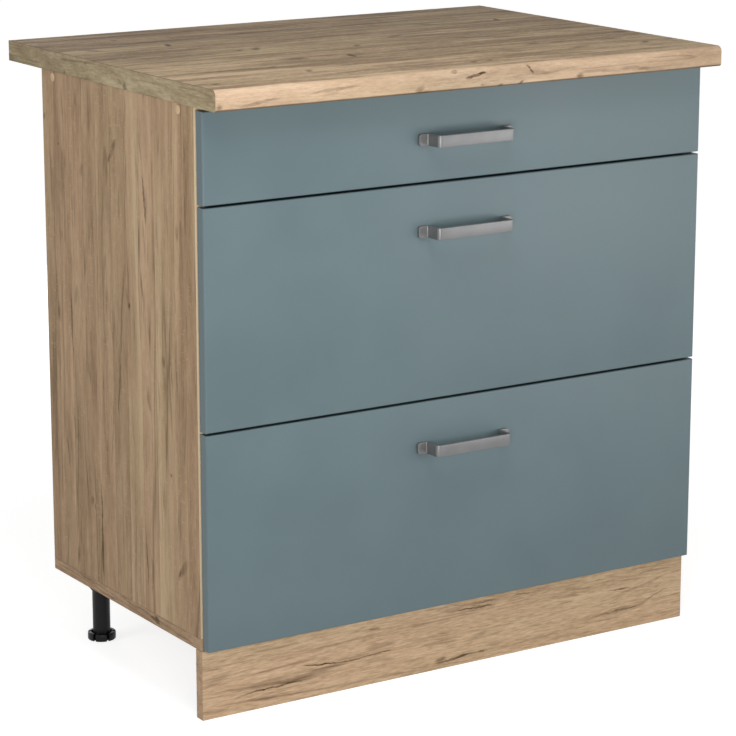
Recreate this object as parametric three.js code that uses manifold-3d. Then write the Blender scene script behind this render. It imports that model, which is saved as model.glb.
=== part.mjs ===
// Kitchen base cabinet with three drawers, 80 cm wide.
// Millimetres. X runs to the right, Y to the back and Z up. The origin is on the floor, in the
// middle of the worktop's length and depth. The drawers pull out towards -Y.

import * as THREE from 'three';
import { mergeVertices } from 'three/addons/utils/BufferGeometryUtils.js';
import Module from 'manifold-3d';

const wasm = await Module();
wasm.setup();

// ---------------------------------------------------------------- driving dimensions

// carcass
const carcassWidth = 800;
const carcassDepth = 427;
const carcassBoard = 16;
const frontRailWidth = 80;
const rearRailWidth = 68;
const backThickness = 3;
const backInset = 12; // rear edge of the carcass to the back panel
const backGrooveDepth = 6;

// worktop
const worktopThickness = 28;
const worktopDepth = 585;
const worktopFrontOverhang = 40; // ahead of the drawer fronts
const worktopEndOverhang = 1;
const worktopNoseRadius = 8;
const worktopUnderRadius = 4;

// drawer fronts
const lowerFrontHeight = 293;
const middleFrontHeight = 293;
const upperFrontHeight = 120;
const frontThickness = 16;
const frontEdgeRadius = 2;
const frontStandOff = 2; // back of a front to the edge of the carcass
const frontSideReveal = 2;
const frontBottomReveal = 2;
const frontTopReveal = 4;
const frontGap = 3;

// drawer boxes
const boxBoard = 12;
const boxBottomThickness = 4;
const boxBottomLift = 10; // lower edge of the box to its bottom panel
const boxGrooveDepth = 6;
const boxClearance = 8; // over the bottom panel, and under the front top rail
const deepBoxHeadroom = 72; // extra height left open over the sides of a deep drawer

// telescopic runners
const runnerThickness = 12.7;
const runnerHeight = 45;
const runnerSheet = 1.2;
const runnerTrack = 2.7; // room for the balls between two members
const runnerLip = 1.2; // how far a lip reaches past the track
const runnerPlay = 0.6; // between the webs of the cabinet rail and the middle rail
const runnerSetback = 2; // behind the front edge of the carcass
const runnerRearClearance = 10; // to the back panel
const runnerLift = 31; // lower edge of the box to the middle of the runner
const runnerBend = 1.1;
const runnerHoles = 3; // screw slots along a cabinet rail and along a drawer rail
const runnerHoleInset = 36; // end of a rail to the middle of its first slot
const runnerHoleLength = 9;
const runnerHoleWidth = 4.6;

// strap handles
const gripLength = 122; // over the two legs
const gripProjection = 30;
const strapHeight = 16;
const strapThickness = 4;
const strapBend = 3.6;
const strapEdge = 0.6;
const tabLength = 14;
const tabCornerRadius = 4;
const handleDrop = 63; // top edge of a front to the middle of its handle

// legs and levelling feet
const legHeight = 96; // floor to the underside of the carcass
const legPlinthGap = 1; // back of the plinth to the plate of a front leg
const rearLegInset = 60; // rear edge of the carcass to the middle of a rear leg
const legSideInset = 42; // side of the carcass to the middle of a leg
const legPlateRadius = 31;
const legPlateThickness = 4;
const legSocketRadius = 19;
const legSocketDepth = 20;
const legGussets = 6;
const legGussetThickness = 2.4;
const legTubeRadius = 12.5;
const legTubeWall = 2;
const footHeight = 11;
const footBase = 3;
const footRimGap = 2.6; // between the tube and the castellated rim
const footRimWall = 5;
const footRimRadius = 1.6;
const footLobes = 6;
const footNotch = 4;
const footStemLength = 52;
const threadClearance = 0.5;

// plinth
const plinthThickness = 16;
const plinthForward = 2; // ahead of the edge of the carcass
const plinthTopGap = 0.5;
const clipPlateWidth = 46;
const clipPlateThickness = 3;
const clipHeight = 18;
const clipWall = 2.6;
const clipArmWidth = 12;
const clipMouth = 100; // degrees left open towards the back
const clipZ = 48;

// screw caps
const capRadius = 6;
const capDome = 0.8;
const capRim = 0.3; // straight edge under the dome
const capStemRadius = 3;
const capStemLength = 8;

// clearances
const fit = 0.3; // between boards and parts that bear on each other
const capSeat = 0.1;

// facets of the round forms
const noseSegments = 8;
const frontEdgeSegments = 4;
const capSegments = 18;
const capDomeSteps = 3;
const legSegments = 30;
const footCornerSteps = 2;
const clipSegments = 24;
const runnerBendSteps = 2;
const runnerHoleSegments = 2;
const strapBendSteps = 4;
const tabCornerSegments = 5;

const overshoot = 1; // how far a cutting block stands out of the face that it cuts

// ---------------------------------------------------------------- derived places

const halfCarcass = carcassWidth / 2;
const insideWidth = carcassWidth - 2 * carcassBoard;
const frontsY = worktopFrontOverhang - worktopDepth / 2; // face of the drawer fronts
const carcassY = frontsY + frontThickness + frontStandOff; // front edge of the carcass
const frontsHeight = lowerFrontHeight + middleFrontHeight + upperFrontHeight + 2 * frontGap;
const carcassHeight = frontBottomReveal + frontsHeight + frontTopReveal;
const insideDepth = carcassDepth - backInset - backThickness;
const railZ = carcassHeight - carcassBoard; // underside of the top rails
const runnerLength = insideDepth - runnerSetback - runnerRearClearance;

const frontWidth = carcassWidth - 2 * frontSideReveal;
const boxWidth = insideWidth - 2 * (runnerThickness + fit);
const boxFront = frontThickness + fit; // from the face of the front
const boxRear = frontThickness + frontStandOff + runnerSetback + runnerLength;
const boxLift = carcassBoard - frontBottomReveal + boxClearance;
const shallowHeadroom = carcassBoard - frontTopReveal + boxClearance;
const deepHeadroom = shallowHeadroom + deepBoxHeadroom;

const lowerFrontZ = legHeight + frontBottomReveal;
const middleFrontZ = lowerFrontZ + lowerFrontHeight + frontGap;
const upperFrontZ = middleFrontZ + middleFrontHeight + frontGap;

const drawers = [
  { name: 'lower', z: lowerFrontZ, height: lowerFrontHeight, headroom: deepHeadroom },
  { name: 'middle', z: middleFrontZ, height: middleFrontHeight, headroom: deepHeadroom },
  { name: 'upper', z: upperFrontZ, height: upperFrontHeight, headroom: shallowHeadroom },
];

const sides = [
  { name: 'left', sign: -1 },
  { name: 'right', sign: 1 },
];

// ---------------------------------------------------------------- materials

function finish(color, roughness, metalness = 0) {
  return new THREE.MeshStandardMaterial({ color, roughness, metalness });
}

const worktopOak = finish(0xa88a68, 0.55);
const carcassOak = finish(0xa18567, 0.6);
const plinthOak = finish(0xb79d80, 0.6);
const backBoard = finish(0xc9bda8, 0.7);
const blueGreyFoil = finish(0x71838a, 0.38);
const whiteBoard = finish(0xe9e8e4, 0.5);
const whiteHardboard = finish(0xdedcd6, 0.6);
const brushedNickel = finish(0x8b8989, 0.34, 1);
const zincSteel = finish(0xb4b8bb, 0.35, 1);
const blackPlastic = finish(0x1c1d1d, 0.45);
const beigeCap = finish(0xc4a985, 0.5);

// ---------------------------------------------------------------- shape helpers

const xAxis = new THREE.Vector3(1, 0, 0);
const yAxis = new THREE.Vector3(0, 1, 0);
const zAxis = new THREE.Vector3(0, 0, 1);
// An extrusion's own (x, y, depth) turned to lie along the object's axes.
const extrudedAlongX = new THREE.Matrix4().makeBasis(yAxis, zAxis, xAxis);
const extrudedAlongY = new THREE.Matrix4().makeBasis(xAxis, zAxis, yAxis.clone().negate());

function part(name, geometry, material, x = 0, y = 0, z = 0) {
  const mesh = new THREE.Mesh(geometry, material);
  mesh.name = name;
  mesh.position.set(x, y, z);
  return mesh;
}

/** A square-edged block from its low corner to its high corner. */
function block([x0, y0, z0], [x1, y1, z1]) {
  const box = new THREE.BoxGeometry(x1 - x0, y1 - y0, z1 - z0);
  return box.translate((x0 + x1) / 2, (y0 + y1) / 2, (z0 + z1) / 2);
}

function toSolid(geometry) {
  const bare = geometry.clone();
  bare.deleteAttribute('normal');
  bare.deleteAttribute('uv');
  const merged = mergeVertices(bare);
  const triangles = [];
  for (let i = 0; i < merged.index.count; i += 3) {
    const [a, b, c] = [0, 1, 2].map((k) => merged.index.getX(i + k));
    if (a !== b && b !== c && c !== a) triangles.push(a, b, c);
  }
  return new wasm.Manifold(
    new wasm.Mesh({
      numProp: 3,
      vertProperties: new Float32Array(merged.attributes.position.array),
      triVerts: new Uint32Array(triangles),
    }),
  );
}

function toGeometry(solid) {
  const mesh = solid.getMesh();
  const geometry = new THREE.BufferGeometry();
  geometry.setAttribute('position', new THREE.BufferAttribute(mesh.vertProperties, 3));
  geometry.setIndex(new THREE.BufferAttribute(mesh.triVerts, 1));
  geometry.computeVertexNormals();
  return geometry;
}

const cut = (base, ...tools) =>
  toGeometry(tools.reduce((solid, tool) => solid.subtract(toSolid(tool)), toSolid(base)));

const join = (base, ...extras) =>
  toGeometry(extras.reduce((solid, extra) => solid.add(toSolid(extra)), toSolid(base)));

const common = (a, b) => toGeometry(toSolid(a).intersect(toSolid(b)));

/** Closed outline of a strip of sheet folded along the centre line `path`, with round folds. */
function foldedStrip(path, thickness, bend, steps) {
  const points = path.map(([x, y]) => new THREE.Vector2(x, y));
  const left = [];
  const right = [];
  const station = (point, normal) => {
    left.push(point.clone().addScaledVector(normal, thickness / 2));
    right.unshift(point.clone().addScaledVector(normal, -thickness / 2));
  };
  const heading = (i) => points[i + 1].clone().sub(points[i]).normalize();
  const leftOf = (direction) => new THREE.Vector2(-direction.y, direction.x);

  station(points[0], leftOf(heading(0)));
  for (let i = 1; i < points.length - 1; i++) {
    const before = heading(i - 1);
    const after = heading(i);
    const turn = Math.atan2(before.cross(after), before.dot(after));
    const side = Math.sign(turn);
    const start = points[i].clone().addScaledVector(before, -bend * Math.tan(Math.abs(turn) / 2));
    const centre = start.clone().addScaledVector(leftOf(before), side * bend);
    for (let k = 0; k <= steps; k++) {
      const normal = leftOf(before).rotateAround(new THREE.Vector2(), (turn * k) / steps);
      station(centre.clone().addScaledVector(normal, -side * bend), normal);
    }
  }
  station(points.at(-1), leftOf(heading(points.length - 2)));
  return new THREE.Shape([...left, ...right]);
}

function extrude(shape, depth, options = {}) {
  return new THREE.ExtrudeGeometry(shape, { depth, bevelEnabled: false, ...options });
}

/** A body of revolution about Z, from [radius, height] pairs that start and end on the axis. */
function turned(profile, segments) {
  const outline = profile.map(([radius, height]) => new THREE.Vector2(radius, height));
  return new THREE.LatheGeometry(outline, segments).rotateX(Math.PI / 2);
}

function rectangle(width, height) {
  const [w, h] = [width / 2, height / 2];
  return new THREE.Shape([[-w, -h], [w, -h], [w, h], [-w, h]].map(([x, y]) => new THREE.Vector2(x, y)));
}

function roundedRectangle(width, height, radius) {
  const [w, h] = [width / 2 - radius, height / 2 - radius];
  const shape = new THREE.Shape();
  shape.absarc(w, h, radius, 0, Math.PI / 2);
  shape.absarc(-w, h, radius, Math.PI / 2, Math.PI);
  shape.absarc(-w, -h, radius, Math.PI, 1.5 * Math.PI);
  shape.absarc(w, -h, radius, 1.5 * Math.PI, 2 * Math.PI);
  return shape;
}

// ---------------------------------------------------------------- worktop

/** A board with a rounded nose along its front, square at the back. */
function worktop() {
  const [top, under] = [worktopNoseRadius, worktopUnderRadius];
  const section = new THREE.Shape();
  section.absarc(under, under, under, 1.5 * Math.PI, Math.PI, true);
  section.absarc(top, worktopThickness - top, top, Math.PI, Math.PI / 2, true);
  section.lineTo(worktopDepth, worktopThickness);
  section.lineTo(worktopDepth, 0);
  const length = carcassWidth + 2 * worktopEndOverhang;
  const board = extrude(section, length, { curveSegments: noseSegments }).applyMatrix4(extrudedAlongX);
  const underside = legHeight + carcassHeight + fit;
  return part('worktop', board, worktopOak, -length / 2, -worktopDepth / 2, underside);
}

// ---------------------------------------------------------------- carcass
// The carcass's own frame: y = 0 on its front edge and z = 0 on its underside.

const backGroove = {
  y0: insideDepth - fit,
  y1: insideDepth + backThickness + fit,
  reach: backGrooveDepth,
};

const capPlaces = [
  { name: 'front', y: frontRailWidth / 2 },
  { name: 'rear', y: carcassDepth - rearRailWidth / 2 },
];
const capZ = carcassHeight - carcassBoard / 2;

function screwHole(sign, y) {
  const radius = capStemRadius + fit;
  const length = capStemLength + capRadius;
  const hole = new THREE.CylinderGeometry(radius, radius, length, capSegments).rotateZ(Math.PI / 2);
  const depth = capStemLength + fit;
  return hole.translate(sign * (halfCarcass - depth + length / 2), y, capZ);
}

/** A side panel stands on the bottom panel and is grooved for the back panel. */
function sidePanel({ name, sign }) {
  const [outer, inner] = [sign * halfCarcass, sign * (halfCarcass - carcassBoard)];
  const [x0, x1] = [Math.min(outer, inner), Math.max(outer, inner)];
  const board = block([x0, 0, carcassBoard + fit], [x1, carcassDepth, carcassHeight]);
  const slotEnd = inner + sign * backGroove.reach;
  const slot = block(
    [Math.min(slotEnd, inner - sign * fit), backGroove.y0, 0],
    [Math.max(slotEnd, inner - sign * fit), backGroove.y1, carcassHeight + overshoot],
  );
  const holes = capPlaces.map(({ y }) => screwHole(sign, y));
  return part(`${name}_side_panel`, cut(board, slot, ...holes), carcassOak);
}

function bottomPanel() {
  const board = block([-halfCarcass, 0, 0], [halfCarcass, carcassDepth, carcassBoard]);
  const end = insideWidth / 2 + backGroove.reach;
  const slot = block(
    [-end, backGroove.y0, carcassBoard - backGroove.reach],
    [end, backGroove.y1, carcassBoard + overshoot],
  );
  return part('bottom_panel', cut(board, slot), carcassOak);
}

function frontTopRail() {
  const end = insideWidth / 2 - fit;
  return part('front_top_rail', block([-end, 0, railZ], [end, frontRailWidth, carcassHeight]), carcassOak);
}

function rearTopRail() {
  const end = insideWidth / 2 - fit;
  const rail = block([-end, carcassDepth - rearRailWidth, railZ], [end, carcassDepth, carcassHeight]);
  const slot = block(
    [-end - overshoot, backGroove.y0, railZ - overshoot],
    [end + overshoot, backGroove.y1, railZ + backGroove.reach],
  );
  return part('rear_top_rail', cut(rail, slot), carcassOak);
}

function backPanel() {
  const end = insideWidth / 2 + backGroove.reach - fit;
  const panel = block(
    [-end, insideDepth, carcassBoard - backGroove.reach + fit],
    [end, insideDepth + backThickness, railZ + backGroove.reach - fit],
  );
  return part('back_panel', panel, backBoard);
}

/** A domed cap whose stem plugs a screw hole in a side panel. */
function screwCap(side, place) {
  const dome = Array.from({ length: capDomeSteps + 1 }, (_, i) => {
    const angle = (i * Math.PI) / 2 / capDomeSteps;
    return [capRadius * Math.cos(angle), capRim + (capDome - capRim) * Math.sin(angle)];
  });
  dome[capDomeSteps][0] = 0;
  const stem = [[0, -capStemLength], [capStemRadius, -capStemLength], [capStemRadius, 0], [capRadius, 0]];
  const cap = turned([...stem, ...dome], capSegments).rotateY((side.sign * Math.PI) / 2);
  const x = side.sign * (halfCarcass + capSeat);
  return part(`${side.name}_${place.name}_screw_cap`, cap, beigeCap, x, place.y, capZ);
}

function carcass() {
  const group = new THREE.Group();
  group.position.set(0, carcassY, legHeight);
  group.add(bottomPanel(), backPanel(), frontTopRail(), rearTopRail());
  for (const side of sides) {
    group.add(sidePanel(side));
    for (const place of capPlaces) group.add(screwCap(side, place));
  }
  return group;
}

// ---------------------------------------------------------------- legs, feet and plinth

const footRimInner = legTubeRadius + footRimGap;
const footRadius = footRimInner + footRimWall;
const legTubeEnd = footBase + fit;
const legTop = legHeight - fit;
const legBore = legTubeRadius - legTubeWall;
const legPlateZ = legTop - legPlateThickness;

/** A moulded leg: a screw-on plate, a tapered socket with gussets, and a tube open at its foot. */
function leg(name) {
  const socketZ = legPlateZ - legSocketDepth;
  const body = turned(
    [
      [0, socketZ],
      [legBore, socketZ],
      [legBore, legTubeEnd],
      [legTubeRadius, legTubeEnd],
      [legTubeRadius, socketZ],
      [legSocketRadius, legPlateZ],
      [legPlateRadius, legPlateZ],
      [legPlateRadius, legTop],
      [0, legTop],
    ],
    legSegments,
  );
  const rootRadius = legTubeRadius - legTubeWall / 2;
  const outline = new THREE.Shape([
    new THREE.Vector2(rootRadius, legPlateZ + legPlateThickness / 2),
    new THREE.Vector2(rootRadius, socketZ),
    new THREE.Vector2(legTubeRadius, socketZ),
    new THREE.Vector2(legPlateRadius - legGussetThickness, legPlateZ),
    new THREE.Vector2(legPlateRadius - legGussetThickness, legPlateZ + legPlateThickness / 2),
  ]);
  const gussets = Array.from({ length: legGussets }, (_, i) =>
    extrude(outline, legGussetThickness)
      .applyMatrix4(extrudedAlongY)
      .translate(0, legGussetThickness / 2, 0)
      .rotateZ((2 * Math.PI * (i + 0.5)) / legGussets),
  );
  return part(`${name}_leg`, join(body, ...gussets), blackPlastic);
}

/** A screw-in foot: a disc with a rim notched right through to turn it by, and a stem up the leg's tube. */
function foot(name) {
  const r = footRimRadius;
  const stemRadius = legBore - threadClearance;
  const corner = (cx, cz, from) =>
    Array.from({ length: footCornerSteps + 1 }, (_, k) => {
      const angle = from + (k * Math.PI) / 2 / footCornerSteps;
      return [cx + r * Math.cos(angle), cz + r * Math.sin(angle)];
    });
  const body = turned(
    [
      [0, 0],
      ...corner(footRadius - r, r, -Math.PI / 2),
      ...corner(footRadius - r, footHeight - r, 0),
      [footRimInner, footHeight],
      [footRimInner, footBase],
      [stemRadius, footBase],
      [stemRadius, footStemLength],
      [0, footStemLength],
    ],
    legSegments,
  );
  const notches = Array.from({ length: footLobes }, (_, i) =>
    block(
      [footRimInner - overshoot, -footNotch / 2, -overshoot],
      [footRadius + overshoot, footNotch / 2, footHeight + overshoot],
    ).rotateZ((2 * Math.PI * (i + 0.5)) / footLobes),
  );
  return part(`${name}_foot`, cut(body, ...notches), blackPlastic);
}

const plinthFace = carcassY - plinthForward;
const plinthBack = plinthFace + plinthThickness;
const frontLegY = plinthBack + legPlinthGap + legPlateRadius;
const rearLegY = carcassY + carcassDepth - rearLegInset;
const legPlaces = [
  { end: 'front', y: frontLegY },
  { end: 'rear', y: rearLegY },
];

function legs() {
  const group = new THREE.Group();
  for (const { end, y } of legPlaces) {
    for (const { name, sign } of sides) {
      const unit = new THREE.Group();
      unit.position.set(sign * (halfCarcass - legSideInset), y, 0);
      unit.add(leg(`${end}_${name}`), foot(`${end}_${name}`));
      group.add(unit);
    }
  }
  return group;
}

/** A plinth clip: a plate on the back of the plinth, an arm, and a jaw that snaps round the leg. */
function plinthClip({ name, sign }) {
  const plateY = plinthBack + fit - frontLegY;
  const inner = legTubeRadius + fit;
  const outer = inner + clipWall;
  const mouth = THREE.MathUtils.degToRad(clipMouth / 2);
  const jaw = new THREE.Shape();
  jaw.absarc(0, 0, outer, Math.PI / 2 + mouth, 2.5 * Math.PI - mouth);
  jaw.absarc(0, 0, inner, 2.5 * Math.PI - mouth, Math.PI / 2 + mouth, true);
  const plate = block(
    [-clipPlateWidth / 2, plateY, 0],
    [clipPlateWidth / 2, plateY + clipPlateThickness, clipHeight],
  );
  const arm = block(
    [-clipArmWidth / 2, plateY + clipPlateThickness / 2, 0],
    [clipArmWidth / 2, -inner - clipWall / 2, clipHeight],
  );
  const clip = join(extrude(jaw, clipHeight, { curveSegments: clipSegments }), arm, plate);
  const x = sign * (halfCarcass - legSideInset);
  return part(`${name}_plinth_clip`, clip, blackPlastic, x, frontLegY, clipZ);
}

function plinth() {
  const group = new THREE.Group();
  const board = block(
    [-halfCarcass, plinthFace, 0],
    [halfCarcass, plinthBack, legHeight - plinthTopGap],
  );
  group.add(part('plinth_board', board, plinthOak));
  for (const side of sides) group.add(plinthClip(side));
  return group;
}

// ---------------------------------------------------------------- runners
// A runner's section: u is measured from the side panel towards the drawer, v from its middle.

const lipReach = runnerThickness - runnerSheet - fit; // outer face of the lips
const cabinetHalf = runnerHeight / 2;
const middleHalf = cabinetHalf - runnerSheet - runnerTrack;
const drawerHalf = middleHalf - runnerSheet - runnerTrack;

/** Centre line of a channel with lipped flanges: its web at u = web, its lips at u = lipReach. */
function lippedChannel(web, half) {
  const [w, v, lip] = [web + runnerSheet / 2, half - runnerSheet / 2, lipReach - runnerSheet / 2];
  const lipEnd = half - runnerSheet - runnerLip;
  return [[lip, lipEnd], [lip, v], [w, v], [w, -v], [lip, -v], [lip, -lipEnd]];
}

/** Centre line of the drawer's channel, whose web lies on the drawer and flanges face the cabinet. */
function drawerChannel() {
  const [w, v] = [runnerThickness - runnerSheet / 2, drawerHalf - runnerSheet / 2];
  const flangeEnd = 2 * (runnerSheet + runnerPlay);
  return [[flangeEnd, v], [w, v], [w, -v], [flangeEnd, -v]];
}

const runnerMembers = [
  { name: 'cabinet_rail', path: lippedChannel(fit, cabinetHalf), screwed: true },
  { name: 'middle_rail', path: lippedChannel(runnerSheet + runnerPlay + fit, middleHalf), screwed: false },
  { name: 'drawer_rail', path: drawerChannel(), screwed: true },
];

/** Round-ended slots along the middle of a rail's web, as tools to cut them with. */
function screwSlots() {
  const outline = roundedRectangle(runnerHoleLength, runnerHoleWidth, runnerHoleWidth / 2);
  const reach = runnerThickness + overshoot;
  const pitch = (runnerLength - 2 * runnerHoleInset) / (runnerHoles - 1);
  return Array.from({ length: runnerHoles }, (_, i) =>
    extrude(outline, 2 * reach, { curveSegments: runnerHoleSegments })
      .applyMatrix4(extrudedAlongX)
      .translate(-reach, runnerHoleInset + i * pitch - runnerLength, 0),
  );
}

function runner(drawer, side) {
  const group = new THREE.Group();
  const z = drawer.z + boxLift + runnerLift;
  group.position.set(side.sign * (insideWidth / 2), carcassY + runnerSetback, z);
  for (const { name, path, screwed } of runnerMembers) {
    const centreLine = path.map(([u, v]) => [-side.sign * u, v]);
    const section = foldedStrip(centreLine, runnerSheet, runnerBend, runnerBendSteps);
    const plain = extrude(section, runnerLength).applyMatrix4(extrudedAlongY);
    const rail = screwed ? cut(plain, ...screwSlots()) : plain;
    group.add(part(`${drawer.name}_${side.name}_${name}`, rail, zincSteel, 0, runnerLength));
  }
  return group;
}

// ---------------------------------------------------------------- drawers
// A drawer's own frame: y = 0 on the face of its front and z = 0 on the lower edge of its front.

const bottomZ = boxLift + boxBottomLift;
const bottomSlot = { z0: bottomZ - fit, z1: bottomZ + boxBottomThickness + fit };
const bottomEnd = boxWidth / 2 - boxBoard + boxGrooveDepth - fit;

/** A front with its face edges rounded over, grooved at the back for the drawer bottom. */
function drawerFront({ name, height }) {
  const r = frontEdgeRadius;
  const face = rectangle(frontWidth - 2 * r, height - 2 * r);
  const bevel = { bevelEnabled: true, bevelThickness: r, bevelSize: r, bevelSegments: frontEdgeSegments };
  const slab = extrude(face, frontThickness, bevel)
    .applyMatrix4(extrudedAlongY)
    .translate(0, frontThickness + r, height / 2);
  const behind = block(
    [-frontWidth, frontThickness, -overshoot],
    [frontWidth, frontThickness + 2 * r + overshoot, height + overshoot],
  );
  const slot = block(
    [-bottomEnd - fit, frontThickness - boxGrooveDepth, bottomSlot.z0],
    [bottomEnd + fit, frontThickness + overshoot, bottomSlot.z1],
  );
  return part(`${name}_drawer_front`, cut(slab, behind, slot), blueGreyFoil);
}

function boxSide({ name, height, headroom }, side) {
  const outer = side.sign * (boxWidth / 2);
  const inner = outer - side.sign * boxBoard;
  const slotEnd = inner + side.sign * boxGrooveDepth;
  const slotStart = inner - side.sign * fit;
  const board = block(
    [Math.min(outer, inner), boxFront, boxLift],
    [Math.max(outer, inner), boxRear, height - headroom],
  );
  const slot = block(
    [Math.min(slotStart, slotEnd), boxFront - overshoot, bottomSlot.z0],
    [Math.max(slotStart, slotEnd), boxRear + overshoot, bottomSlot.z1],
  );
  return part(`${name}_drawer_${side.name}_side`, cut(board, slot), whiteBoard);
}

function boxBack({ name, height, headroom }) {
  const end = boxWidth / 2 - boxBoard - fit;
  const board = block([-end, boxRear - boxBoard, bottomSlot.z1], [end, boxRear, height - headroom]);
  return part(`${name}_drawer_back`, board, whiteBoard);
}

function boxBottom({ name }) {
  const front = frontThickness - boxGrooveDepth + fit;
  const panel = block([-bottomEnd, front, bottomZ], [bottomEnd, boxRear, bottomZ + boxBottomThickness]);
  return part(`${name}_drawer_bottom`, panel, whiteHardboard);
}

/** A strap handle: a tab on the front at each end, a leg out from each tab, and a flat grip. */
function handle({ name, height }) {
  const half = gripLength / 2 - strapThickness / 2;
  const end = gripLength / 2 + tabLength;
  const tabY = -strapThickness / 2;
  const gripY = strapThickness / 2 - gripProjection;
  const path = [[-end, tabY], [-half, tabY], [-half, gripY], [half, gripY], [half, tabY], [end, tabY]];
  const strap = foldedStrip(path, strapThickness - 2 * strapEdge, strapBend, strapBendSteps);
  const bevel = { bevelEnabled: true, bevelThickness: strapEdge, bevelSize: strapEdge, bevelSegments: 1 };
  const bar = extrude(strap, strapHeight - 2 * strapEdge, bevel)
    .translate(0, 0, strapEdge - strapHeight / 2);
  const face = roundedRectangle(2 * end, strapHeight, tabCornerRadius);
  const cornered = extrude(face, 2 * gripProjection, { curveSegments: tabCornerSegments })
    .applyMatrix4(extrudedAlongY)
    .translate(0, gripProjection / 2, 0);
  return part(`${name}_handle`, common(bar, cornered), brushedNickel, 0, -fit, height - handleDrop);
}

function drawer(spec) {
  const group = new THREE.Group();
  group.position.set(0, frontsY, spec.z);
  group.add(drawerFront(spec), handle(spec), boxBack(spec), boxBottom(spec));
  for (const side of sides) group.add(boxSide(spec, side));
  return group;
}

// ---------------------------------------------------------------- the cabinet

const cabinet = new THREE.Group();
cabinet.add(worktop(), carcass(), legs(), plinth());
for (const spec of drawers) {
  cabinet.add(drawer(spec));
  for (const side of sides) cabinet.add(runner(spec, side));
}

export default cabinet;
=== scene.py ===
"""Looks of a kitchen base cabinet with three drawers: oak boards, blue-grey fronts, nickel handles.

Lengths are metres in the cabinet's own frame, with X to the right, Y to the back and Z up, and the
origin on the floor. Tables of small sizes are written in millimetres and multiplied by MM.
"""

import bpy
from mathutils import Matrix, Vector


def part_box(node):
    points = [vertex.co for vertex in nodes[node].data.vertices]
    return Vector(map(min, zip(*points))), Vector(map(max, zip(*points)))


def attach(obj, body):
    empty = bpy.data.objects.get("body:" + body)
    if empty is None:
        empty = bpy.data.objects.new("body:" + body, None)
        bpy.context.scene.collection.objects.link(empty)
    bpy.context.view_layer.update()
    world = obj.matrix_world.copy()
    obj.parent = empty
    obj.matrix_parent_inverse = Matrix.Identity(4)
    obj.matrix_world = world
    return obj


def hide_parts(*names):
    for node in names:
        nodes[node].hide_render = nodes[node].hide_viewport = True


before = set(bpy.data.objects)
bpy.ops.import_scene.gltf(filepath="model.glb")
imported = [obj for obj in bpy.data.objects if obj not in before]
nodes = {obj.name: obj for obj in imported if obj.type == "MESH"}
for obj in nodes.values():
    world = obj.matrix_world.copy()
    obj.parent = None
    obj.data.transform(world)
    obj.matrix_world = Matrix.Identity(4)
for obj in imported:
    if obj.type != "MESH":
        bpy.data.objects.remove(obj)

import copy
import math
import random

import bmesh
import bpy
from mathutils import Euler, Matrix, Vector

MM = 0.001
X, Y, Z = 0, 1, 2
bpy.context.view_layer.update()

DRAWERS = ("lower", "middle", "upper")
SIDES = (("left", -1), ("right", 1))
ENDS = ("front", "rear")


# ---------------------------------------------------------------- camera

CAMERA_PLACE = (-2.12419, -3.33967, 1.34190)
CAMERA_YAW = math.radians(32.57)  # turned from the back towards the right
CAMERA_PITCH = math.radians(13.69)  # looking down
CAMERA_SENSOR = 36  # millimetres, like the lens
CAMERA_LENS = 139.58


def make_camera():
    data = bpy.data.cameras.new("camera")
    data.sensor_width = CAMERA_SENSOR
    data.lens = CAMERA_LENS
    camera = bpy.data.objects.new("camera", data)
    camera.location = CAMERA_PLACE
    camera.rotation_euler = Euler((math.pi / 2 - CAMERA_PITCH, 0, -CAMERA_YAW))
    bpy.context.scene.collection.objects.link(camera)
    bpy.context.scene.camera = camera


# ---------------------------------------------------------------- node materials

def srgb(*levels):
    """A screen colour, in levels of 0 to 255, as the linear colour that a shader takes."""
    shares = [level / 255 for level in levels]
    return [c / 12.92 if c <= 0.04045 else ((c + 0.055) / 1.055) ** 2.4 for c in shares] + [1.0]


def shade_of(tone, factor):
    """A tone with its light multiplied by a factor, and no brighter than white."""
    return [min(1.0, c * factor) for c in tone[:3]] + [1.0]


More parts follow.
